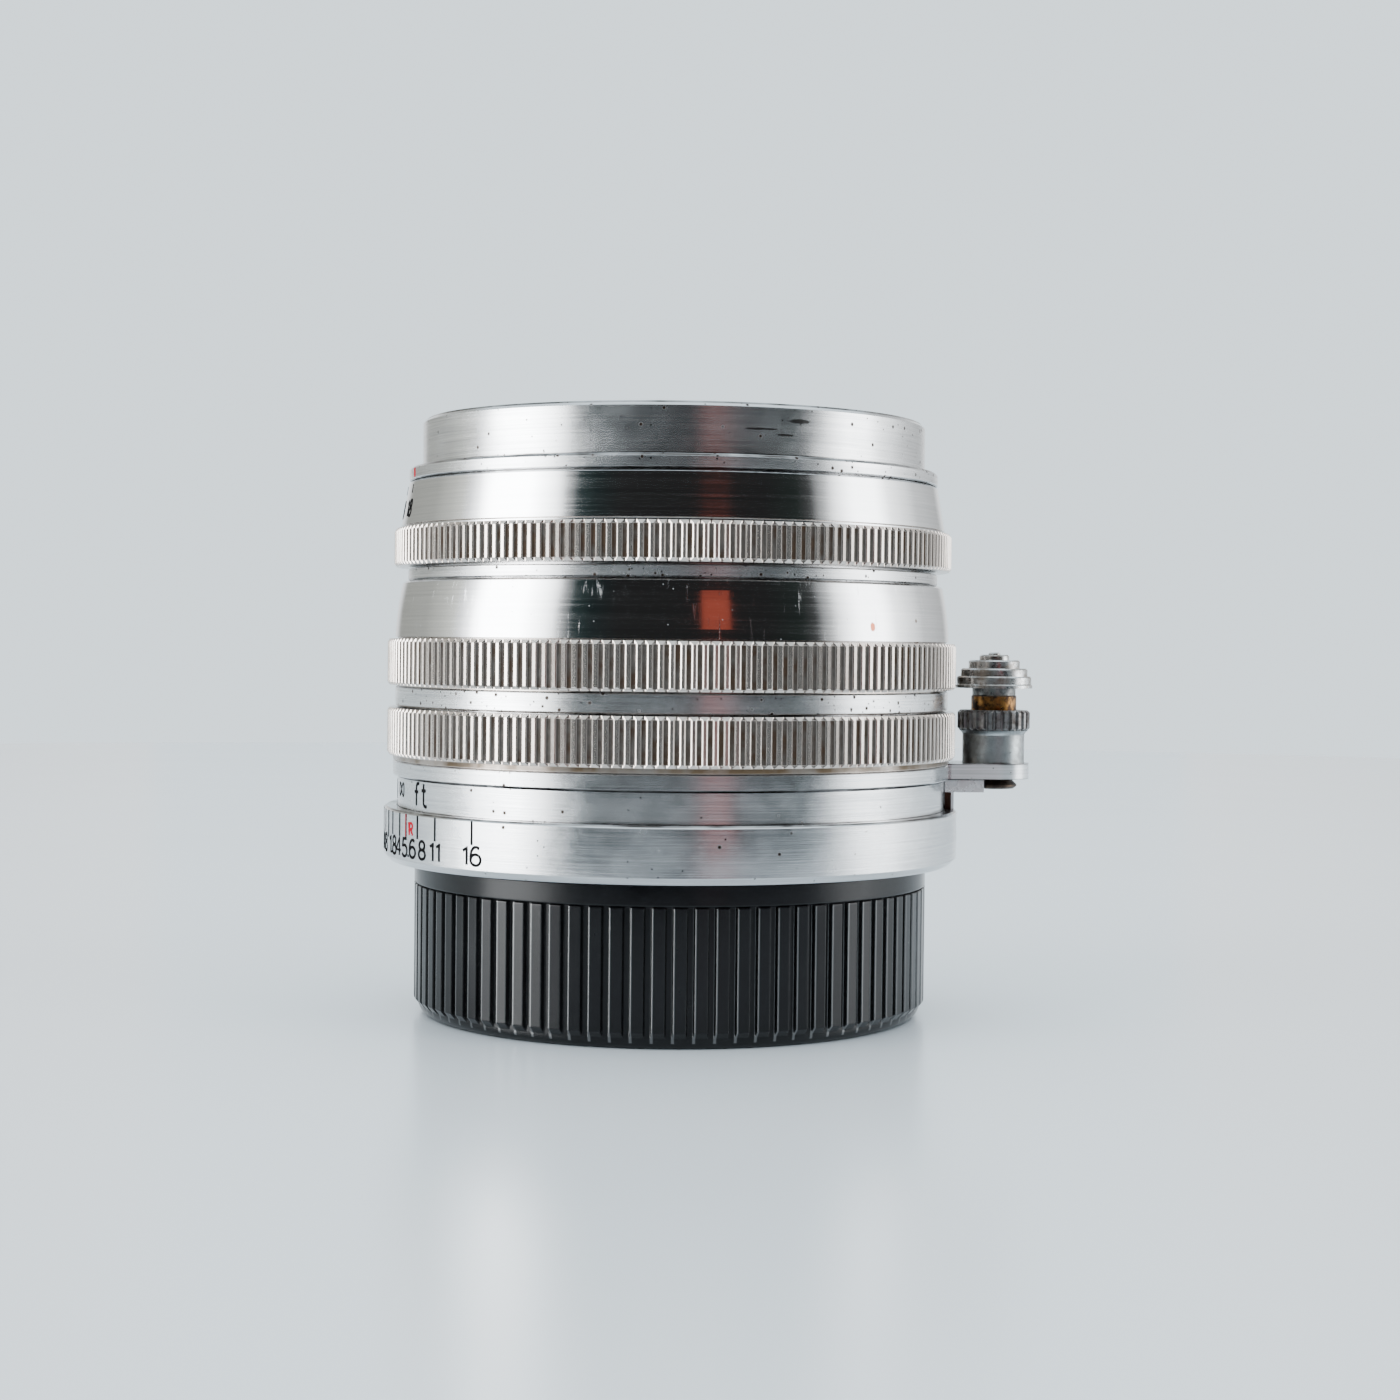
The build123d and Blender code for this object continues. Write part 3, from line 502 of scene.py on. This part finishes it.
def new_piece(name, verts, faces, material):
    """Mesh object in the scene, from points in metres."""
    mesh = bpy.data.meshes.new(name)
    mesh.from_pydata(verts, [], faces)
    mesh.materials.append(material)
    mesh.update()
    piece = bpy.data.objects.new(name, mesh)
    bpy.context.scene.collection.objects.link(piece)
    return piece


def ring_point(radius, angle, z):
    """Point in metres at a radius and height in mm and an azimuth in degrees."""
    a = math.radians(angle)
    return (radius * math.cos(a) * MM, radius * math.sin(a) * MM, z * MM)


def arc(x, y, rx, ry, a0, a1):
    """Points on part of an ellipse, between two angles in degrees."""
    steps = max(4, int(abs(a1 - a0) / 22.5))
    points = []
    for k in range(steps + 1):
        a = math.radians(a0 + (a1 - a0) * k / steps)
        points.append((x + rx * math.cos(a), y + ry * math.sin(a)))
    return points


# Engraver's characters of height 1: width, then strokes.
CHARACTERS = {
    "0": (0.58, [arc(0.29, 0.5, 0.29, 0.5, 0, 360)]),
    "1": (0.30, [[(0.02, 0.77), (0.13, 0.84), (0.24, 1.0), (0.24, 0.0)]]),
    "2": (0.56, [arc(0.28, 0.72, 0.26, 0.28, 165, -35) + [(0.02, 0.0), (0.56, 0.0)]]),
    "3": (0.54, [arc(0.26, 0.76, 0.23, 0.24, 150, -90), arc(0.26, 0.26, 0.27, 0.26, 90, -155)]),
    "4": (0.58, [[(0.43, 0.0), (0.43, 1.0), (0.0, 0.3), (0.58, 0.3)]]),
    "5": (0.56, [[(0.5, 1.0), (0.13, 1.0), (0.07, 0.52)] + arc(0.27, 0.32, 0.28, 0.32, 125, -150)]),
    "6": (0.58, [arc(0.29, 0.3, 0.28, 0.3, 0, 360), arc(0.32, 0.52, 0.31, 0.48, 55, 180) + [(0.01, 0.3)]]),
    "8": (0.56, [arc(0.28, 0.76, 0.22, 0.24, 0, 360), arc(0.28, 0.26, 0.27, 0.26, 0, 360)]),
    ".": (-0.06, [[(-0.03, 0.0), (-0.03, 0.14)]]),
    "f": (0.36, [arc(0.34, 0.82, 0.16, 0.18, 60, 180) + [(0.18, 0.0)], [(0.02, 0.62), (0.34, 0.62)]]),
    "t": (0.36, [[(0.16, 1.0), (0.16, 0.18)] + arc(0.32, 0.18, 0.16, 0.18, 180, 300),
                 [(0.0, 0.7), (0.32, 0.7)]]),
    "R": (0.54, [[(0.04, 0.0), (0.04, 1.0), (0.28, 1.0)] + arc(0.28, 0.75, 0.24, 0.25, 80, -90)
                 + [(0.05, 0.5)],
                 [(0.28, 0.5), (0.54, 0.0)]]),
}
CHARACTER_GAP = 0.16


def stroke_edges(points, width):
    """Left and right edges of a stroke, mitred at its corners, and whether it closes on itself."""
    closed = math.dist(points[0], points[-1]) < 1e-6
    points = points[:-1] if closed else points
    count = len(points)
    left = []
    right = []
    for k in range(count):
        here = points[k]
        before = points[k - 1] if closed or k else here
        after = points[(k + 1) % count] if closed or k < count - 1 else here
        dx, dy = after[0] - before[0], after[1] - before[1]
        length = math.hypot(dx, dy)
        nx, ny = -dy / length, dx / length
        ahead = after if after != here else (2 * here[0] - before[0], 2 * here[1] - before[1])
        ex, ey = ahead[0] - here[0], ahead[1] - here[1]
        straight = abs(-ey * nx + ex * ny) / math.hypot(ex, ey)
        reach = width / 2 / max(straight, 0.5)
        left.append((here[0] + nx * reach, here[1] + ny * reach))
        right.append((here[0] - nx * reach, here[1] - ny * reach))
    return left, right, closed


def mark(name, strokes, width, angle, z, surface_r, body, material):
    """Thin solid strokes on a ring; x runs along the ring and y up, in mm from an azimuth and a height."""
    verts = []
    faces = []
    turn = math.degrees(1 / surface_r(z))
    for stroke in strokes:
        left, right, closed = stroke_edges(stroke, width)
        start = len(verts)
        count = len(left)
        for pair in zip(left, right):
            for x, y in pair:
                for lift in (-MARK_DEPTH, MARK_RISE):
                    verts.append(ring_point(surface_r(z + y) + lift, angle + x * turn, z + y))
        for k in range(count if closed else count - 1):
            i = start + 4 * k
            j = start + 4 * ((k + 1) % count)
            faces += [(i + 1, i + 3, j + 3, j + 1), (i, j, j + 2, i + 2)]
            faces += [(i, i + 1, j + 1, j), (i + 2, j + 2, j + 3, i + 3)]
        if not closed:
            last = start + 4 * (count - 1)
            faces += [(start, start + 2, start + 3, start + 1), (last, last + 1, last + 3, last + 2)]
    piece = new_piece(name, verts, faces, material)
    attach(piece, body)


def line_mark(name, angle, z0, z1, width, surface_r, body, material):
    """Upright line on a ring."""
    half = (z1 - z0) / 2
    mark(name, [[(0, -half), (0, half)]], width, angle, (z0 + z1) / 2, surface_r, body, material)


def text_mark(name, text, size, angle, z, surface_r, body, material, wide=1.3, width=0.23):
    """Upright characters, centred on an azimuth and height."""
    strokes = []
    x = 0.0
    for character in text:
        advance, lines = CHARACTERS[character]
        for line in lines:
            strokes.append([(x + px, py) for px, py in line])
        x += advance + CHARACTER_GAP
    middle = (x - CHARACTER_GAP) / 2
    strokes = [[((px - middle) * size * wide, (py - 0.5) * size) for px, py in line] for line in strokes]
    mark(name, strokes, width, angle, z, surface_r, body, material)


def infinity_mark(name, width, height, stroke, angle, z, surface_r, body):
    """Lying figure eight."""
    steps = 40
    loop = []
    for k in range(steps + 1):
        a = 2 * math.pi * (k + 0.5) / steps
        loop.append((width / 2 * math.cos(a), height / 2 * math.sin(2 * a)))
    loop[-1] = loop[0]
    mark(name, [loop], stroke, angle, z, surface_r, body, BLACK_FILL)


# Outsides of the rings that carry marks: radii in mm, and the aperture cone as (radius, z) at its ends.
DEPTH_RING_R = 24.0
DISTANCE_RING_R = 22.9
INDEX_RING_R = 22.1
APERTURE_CONE = ((22.75, 40.35), (22.15, 43.8))


def depth_surface(z):
    return DEPTH_RING_R


def distance_surface(z):
    return DISTANCE_RING_R


def index_surface(z):
    return INDEX_RING_R


def aperture_surface(z):
    (low_r, low_z), (high_r, high_z) = APERTURE_CONE
    share = (z - low_z) / (high_z - low_z)
    return low_r + (high_r - low_r) * share


def safe(text):
    """Figure as part of a piece's name."""
    return text.replace(".", "_")


F_NUMBERS = ("1.8", "2.8", "4", "5.6", "8", "11", "16", "22")
FEET = (50, 25, 15, 10, 8, 6, 5, 4, 3.5)


def depth_marks():
    """Depth-of-field lines and figures either side of the index, and the infrared mark."""
    top = 17.1
    text_z = 14.42
    ring = (depth_surface, "mount")
    line_mark("depth_index_line", INDEX_ANGLE, 14.9, top, 0.24, *ring, BLACK_FILL)
    # some figures stand a degree or two beside their lines
    aside = {"4": -0.7, "5.6": 1.2, "8": 1.8}
    for side, way in (("far", -1), ("near", 1)):
        for figure in ("1.8", "4", "5.6", "8", "11", "16"):
            angle = INDEX_ANGLE + way * DEGREES_PER_F_NUMBER * float(figure)
            name = f"depth_{side}_{safe(figure)}"
            line_mark(name + "_line", angle, 15.25, top, 0.21, *ring, BLACK_FILL)
            beside = angle + way * aside.get(figure, 0.0)
            text_mark(name, figure, 1.42, beside, text_z, *ring, BLACK_FILL)
    red = INDEX_ANGLE + 11.7
    line_mark("infrared_line", red, 15.3, top, 0.2, *ring, RED_FILL)
    text_mark("infrared_letter", "R", 0.95, red + 2.3, 15.95, *ring, RED_FILL, width=0.2)


def distance_marks():
    """Infinity sign, unit and figures, each where the helicoid's turn for that distance puts it."""
    z = 18.6
    ring = (distance_surface, "focus_ring")
    infinity_mark("distance_infinity", 1.9, 1.05, 0.17, INDEX_ANGLE - 0.7, z + 0.15, *ring)
    for letter, beside in (("f", 10.4), ("t", 14.1)):
        name = "distance_unit_" + letter
        text_mark(name, letter, 1.8, INDEX_ANGLE + beside, z, *ring, BLACK_FILL, width=0.26)
    for feet in FEET:
        distance = feet * FOOT_M
        extension = FOCAL_LENGTH_M ** 2 / (distance - FOCAL_LENGTH_M)
        angle = INDEX_ANGLE - 360 * extension / HELICOID_LEAD_M
        figure = f"{feet:g}"
        name = "distance_" + safe(figure)
        text_mark(name, figure, 1.4, angle, z, *ring, BLACK_FILL)
        line_mark(name + "_line", angle, 17.3, 17.7, 0.15, *ring, BLACK_FILL)


def aperture_marks():
    """Red index on the head and the figures on the aperture ring's cone, evenly spaced by stops."""
    line_mark("aperture_index", APERTURE_INDEX_ANGLE, 44.2, 44.95, 0.4, index_surface, "lens_head", RED_FILL)
    text_z = 41.65
    ring = (aperture_surface, "aperture_ring")
    widest = float(F_NUMBERS[0])
    for figure in F_NUMBERS:
        stops = 2 * math.log2(float(figure) / widest)
        angle = APERTURE_INDEX_ANGLE - DEGREES_PER_STOP * stops
        name = "aperture_" + safe(figure)
        text_mark(name, figure, 1.3, angle, text_z, *ring, BLACK_FILL, wide=1.1)
        line_mark(name + "_line", angle, 42.9, 43.6, 0.15, *ring, BLACK_FILL)


depth_marks()
distance_marks()
aperture_marks()


# ---------------------------------------------------------------- button spring
def spring_coil(name, x, radius, wire_r, z0, z1, turns):
    """Closed wire coil round an upright line at x; the wire's centre climbs from z0 to z1. All in mm."""
    rings = int(turns * 24)
    sides = 8
    verts = []
    for k in range(rings + 1):
        a = math.radians(360 * turns * k / rings)
        z = z0 + (z1 - z0) * k / rings
        for s in range(sides):
            b = 2 * math.pi * s / sides
            r = radius + wire_r * math.cos(b)
            verts.append(((x + r * math.cos(a)) * MM, r * math.sin(a) * MM, (z + wire_r * math.sin(b)) * MM))
    faces = [tuple(range(sides)), tuple(range(sides * rings + sides - 1, sides * rings - 1, -1))]
    for k in range(rings):
        for s in range(sides):
            i = k * sides + s
            j = k * sides + (s + 1) % sides
            faces.append((i, i + sides, j + sides, j))
    piece = new_piece(name, verts, faces, STEEL)
    piece.data.polygons.foreach_set("use_smooth", [True] * len(faces))
    piece.data.update()
    return piece


# It stands in the lock post, where the real spring shortens as the button goes down: its foot stays, and the
# stem above it comes down from 24.15 to 22.65 mm. This coil is built at rest and does not shorten.
POST_X = 27.2
spring = spring_coil("button_spring_coil", POST_X, radius=1.4, wire_r=0.15, z0=21.76, z1=23.97, turns=3.5)
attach(spring, "focus_ring")
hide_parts("lock_spring")
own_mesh(spring)


# ---------------------------------------------------------------- floor, cards and lights
FLOOR_R = 0.53
LAMP_TARGET = (0, 0, 0.025)


def card(name, corners, material):
    """Flat or curved stage panel from rows of points in metres, seen only in reflections."""
    rows = len(corners)
    columns = len(corners[0])
    verts = [p for row in corners for p in row]
    faces = []
    for i in range(rows - 1):
        for j in range(columns - 1):
            a = i * columns + j
            faces.append((a, a + 1, a + columns + 1, a + columns))
    panel = new_piece(name, verts, faces, material)
    panel.visible_camera = False
    panel.visible_diffuse = False
    panel.visible_shadow = False
    panel.visible_transmission = False


def arc_card(name, radius, a0, a1, z0, z1, material):
    """Upright panel in metres on an arc about the lens axis; azimuths as in ROOM below."""
    steps = 24
    rows = []
    for z in (z0, z1):
        row = []
        for k in range(steps + 1):
            a = math.radians(270 + a0 + (a1 - a0) * k / steps)
            row.append((radius * math.cos(a), radius * math.sin(a), z))
        rows.append(row)
    card(name, rows, material)


def glow_material(name):
    """Material with only an emission shader: the material, its tree and the shader."""
    material = bpy.data.materials.new(name)
    material.use_nodes = True
    tree = material.node_tree
    tree.nodes.clear()
    shader = tree.nodes.new("ShaderNodeEmission")
    out = tree.nodes.new("ShaderNodeOutputMaterial")
    tree.links.new(shader.outputs[0], out.inputs[0])
    return material, tree, shader


def emitter(name, colour):
    """Even emission of strength 1."""
    material, _, shader = glow_material(name)
    shader.inputs["Color"].default_value = colour
    return material


def room_glow(name, profile):
    """Emission that follows an azimuth profile round the lens axis."""
    peak = max(value for _, value, _ in profile)
    material, tree, shader = glow_material(name)
    add = tree.nodes.new
    parts = add("ShaderNodeSeparateXYZ")
    tree.links.new(add("ShaderNodeTexCoord").outputs["Object"], parts.inputs[0])
    flip = add("ShaderNodeMath")
    flip.operation = "MULTIPLY"
    flip.inputs[1].default_value = -1.0
    tree.links.new(parts.outputs["Y"], flip.inputs[0])
    bearing = add("ShaderNodeMath")
    bearing.operation = "ARCTAN2"
    tree.links.new(parts.outputs["X"], bearing.inputs[0])
    tree.links.new(flip.outputs[0], bearing.inputs[1])
    share = add("ShaderNodeMapRange")
    share.inputs["From Min"].default_value = -math.pi
    share.inputs["From Max"].default_value = math.pi
    tree.links.new(bearing.outputs[0], share.inputs["Value"])
    ramp = add("ShaderNodeValToRGB")
    stops = ramp.color_ramp.elements
    for k, (azimuth, value, tint) in enumerate(profile):
        place = (azimuth + 180) / 360
        stop = stops[k] if k < 2 else stops.new(place)  # a new ramp starts with two stops
        stop.position = place
        level = value / peak
        stop.color = (level * tint[0], level * tint[1], level * tint[2], 1)
    tree.links.new(share.outputs[0], ramp.inputs["Fac"])
    shader.inputs["Strength"].default_value = peak
    tree.links.new(ramp.outputs["Color"], shader.inputs["Color"])
    return material


def floor():
    """Round pale table top."""
    steps = 96
    turns = [2 * math.pi * k / steps for k in range(steps)]
    rim = [(FLOOR_R * math.cos(a), FLOOR_R * math.sin(a), 0) for a in turns]
    new_piece("floor", rim, [tuple(range(steps))], floor_material("pale_floor"))


def area_light(name, place, size_x, size_y, power):
    """Soft lamp aimed at the middle of the lens, not seen itself."""
    data = bpy.data.lights.new(name, "AREA")
    data.shape = "RECTANGLE"
    data.size = size_x
    data.size_y = size_y
    data.energy = power
    lamp = bpy.data.objects.new(name, data)
    bpy.context.scene.collection.objects.link(lamp)
    lamp.location = place
    direction = Vector(LAMP_TARGET) - Vector(place)
    lamp.rotation_euler = direction.to_track_quat("-Z", "Y").to_euler()
    lamp.visible_camera = False
    lamp.visible_glossy = False


floor()

# The room as the metal sees it: azimuths from the camera's side, + to the right, brightness and tint.
GREY = (0.97, 0.99, 1.0)
TEAL = (0.6, 1.02, 1.04)
GREEN = (0.8, 1.1, 1.0)
OLIVE = (1.0, 1.01, 0.93)
ROOM = (
    (-165, 1.6, GREY), (-158, 1.4, GREY), (-150, 0.45, OLIVE), (-120, 0.55, OLIVE), (-107, 0.85, OLIVE),
    (-100, 1.2, OLIVE), (-95, 1.9, GREY), (-90, 4.5, GREY), (-85, 14.0, GREY), (-82, 18.0, GREY),
    (-64, 18.0, GREY), (-58, 11.0, GREY), (-50, 4.5, GREY), (-46, 0.7, GREY), (-41, 0.052, TEAL),
    (-33, 0.024, TEAL), (-22, 0.022, GREY), (38, 0.022, GREY), (53, 0.026, GREEN),
    (60, 0.07, GREY), (67, 0.9, GREY), (74, 4.0, GREY), (82, 8.0, GREY), (94, 8.0, GREY), (103, 3.4, GREY),
    (112, 2.2, GREY), (124, 1.1, GREY), (138, 0.85, GREY), (150, 0.7, GREY), (158, 1.4, GREY),
    (165, 1.6, GREY),
)

# The panel stands round the lens with a gap behind it, in metres and degrees.
ROOM_R = 0.9
ROOM_ENDS = (-165, 165)
ROOM_TOP = 0.8
CARD_FOOT = 0.002
glow = room_glow("room_glow", ROOM)
arc_card("room_round", ROOM_R, *ROOM_ENDS, CARD_FOOT, ROOM_TOP, glow)

# The same glow on the table, only in front of the lens: further back the floor would mirror it.
TABLE_END = 0.88
TABLE_FRONT_Y = -0.112
table_end = [[(x, y, 0.0005) for x in (-TABLE_END, TABLE_END)] for y in (-TABLE_END, TABLE_FRONT_Y)]
card("table_end", table_end, glow)

# The reddish stripe between two azimuths: bright for the cones, fainter for the satin rings below them.
WARM = (11.5, 23.0)
WARM_R = 0.86
warm = emitter("warm_panel", rgb(0.42, 0.085, 0.055))
arc_card("warm_panel", WARM_R, *WARM, 0.155, 0.368, warm)
faint_warm = emitter("warm_faint", rgb(0.40, 0.16, 0.16))
arc_card("warm_low", WARM_R, *WARM, CARD_FOOT, 0.045, faint_warm)
warm_table = [[ring_point(r, 270 + a, 1.0) for a in WARM] for r in (135, 850)]
card("warm_table", warm_table, faint_warm)

area_light("key_left", (-0.55, -0.4, 0.5), 0.5, 0.5, 3.0)
area_light("key_right", (0.6, -0.35, 0.45), 0.4, 0.5, 2.2)
area_light("top", (0, 0.1, 0.9), 0.8, 0.8, 3.0)

world = bpy.data.worlds.new("studio")
bpy.context.scene.world = world
world.use_nodes = True
background = world.node_tree.nodes["Background"]
background.inputs["Color"].default_value = rgb(0.83, 0.95, 1.02)
background.inputs["Strength"].default_value = 1.6


# ---------------------------------------------------------------- camera
camera_data = bpy.data.cameras.new("camera")
camera_data.sensor_width = 36.0
camera_data.lens = CAMERA_FOCAL
camera_data.clip_start = 0.01
camera = bpy.data.objects.new("camera", camera_data)
bpy.context.scene.collection.objects.link(camera)
pitched = Euler((math.radians(90 - CAMERA_PITCH), 0, math.radians(-CAMERA_YAW)), "XYZ").to_matrix().to_4x4()
rolled = Matrix.Rotation(math.radians(CAMERA_ROLL), 4, "Z")
camera.matrix_world = Matrix.Translation((0, -CAMERA_DISTANCE * MM, CAMERA_HEIGHT * MM)) @ pitched @ rolled
bpy.context.scene.camera = camera
